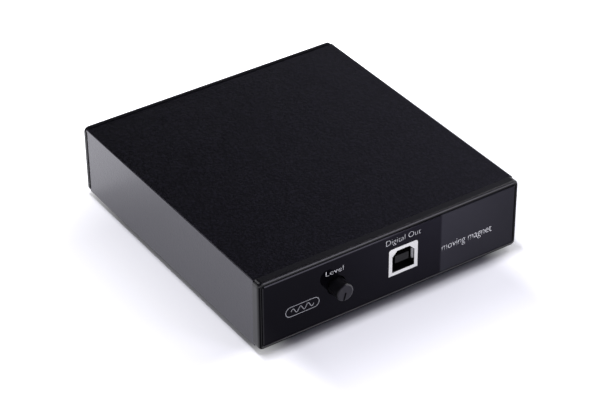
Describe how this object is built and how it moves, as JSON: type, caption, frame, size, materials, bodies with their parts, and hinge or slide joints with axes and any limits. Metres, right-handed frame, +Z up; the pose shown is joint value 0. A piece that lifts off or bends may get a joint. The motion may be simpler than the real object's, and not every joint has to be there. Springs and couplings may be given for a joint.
{
  "type": "phono preamp",
  "caption": "Small box-shaped phono preamp with a slim front level knob, a square data port, and phono sockets, a ground post and a power socket at the rear.",
  "frame": {"origin": "on the surface that the feet rest on, under the middle of the whole object, knob and sockets included", "axes": "+Z up, -Y to the front with the knob and data port, +X to the right of someone facing the front"},
  "size_m": [0.1, 0.121, 0.0269],
  "materials": {
    "sleeve_coat": "black powder coat with a fine grain",
    "bezel_black": "satin black moulding",
    "fascia_gloss": "polished gloss black with white legends",
    "adhesive": "translucent acrylic adhesive sheet",
    "black_screw": "black zinc plated steel",
    "rear_plate": "satin black paint with white legends",
    "foot_rubber": "matte black rubber",
    "board_green": "green solder mask over glass laminate",
    "socket_black": "moulded black nylon",
    "nickel": "bright nickel plating",
    "core_white": "white moulded insulator",
    "core_red": "red moulded insulator",
    "gold": "thin gold plating",
    "tinned": "tinned metal",
    "knob_black": "satin black moulding with a pointer groove",
    "can_sleeve": "shrunk sleeve over an aluminium can",
    "film_case": "dipped red case",
    "chip_black": "moulded epoxy",
    "ferrite": "dark sintered ferrite",
    "resistor_black": "glazed ceramic chip",
    "lamp_clear": "clear moulded lamp"
  },
  "bodies": {
    "case": {"amplifier_chip_left": "chip_black", "amplifier_chip_right": "chip_black", "case_sleeve": "sleeve_coat", "chip_resistors": "resistor_black", "clock_crystal": "tinned", "converter_chip": "chip_black", "data_port_contacts": "gold", "data_port_insulator": "socket_black", "data_port_shell": "nickel", "film_capacitor_left": "film_case", "film_capacitor_right": "film_case", "filter_inductor": "ferrite", "front_bezel": "bezel_black", "front_left_foot": "foot_rubber", "front_panel": "fascia_gloss", "front_right_foot": "foot_rubber", "front_screws": "black_screw", "ground_lock_nut": "nickel", "ground_strap": "tinned", "ground_stud": "nickel", "indicator_lamp": "lamp_clear", "input_left_contact": "gold", "input_left_core": "core_white", "input_left_shell": "nickel", "input_right_contact": "gold", "input_right_core": "core_red", "input_right_shell": "nickel", "input_socket_housing": "socket_black", "level_control_body": "socket_black", "level_control_cover": "tinned", "level_terminals": "tinned", "main_board": "board_green", "output_left_contact": "gold", "output_left_core": "core_white", "output_left_shell": "nickel", "output_right_contact": "gold", "output_right_core": "core_red", "output_right_shell": "nickel", "output_socket_housing": "socket_black", "panel_adhesive": "adhesive", "power_centre_pin": "nickel", "power_socket_housing": "socket_black", "power_spring_contact": "tinned", "rear_bezel": "bezel_black", "rear_left_foot": "foot_rubber", "rear_panel": "rear_plate", "rear_right_foot": "foot_rubber", "rear_screws": "black_screw", "supply_capacitor_1": "can_sleeve", "supply_capacitor_2": "can_sleeve", "supply_capacitor_3": "can_sleeve", "voltage_regulator": "chip_black"},
    "level_rotor": {"level_knob": "knob_black", "level_shaft": "tinned", "level_wiper": "gold"},
    "clamp_washer": {"ground_washer": "nickel"},
    "clamp_nut": {"ground_thumb_nut": "nickel"}
  },
  "joints": [
    {"name": "level_turn", "type": "hinge", "parent": "case", "child": "level_rotor", "pos_m": [-0.0214, -0.0553, 0.0151], "axis": [0, 1, 0], "range_deg": [0, 300]},
    {"name": "clamp_travel", "type": "slide", "parent": "case", "child": "clamp_washer", "axis": [0, 1, 0], "range_m": [0, 0.0021]},
    {"name": "clamp_turn", "type": "hinge", "parent": "clamp_washer", "child": "clamp_nut", "pos_m": [0.008, 0.0515, 0.01475], "axis": [0, 1, 0], "range_deg": [0, 1081]}
  ],
  "couplings": [
    {"joint": "clamp_turn", "follows": "clamp_travel", "rad_per_m": 8976}
  ]
}
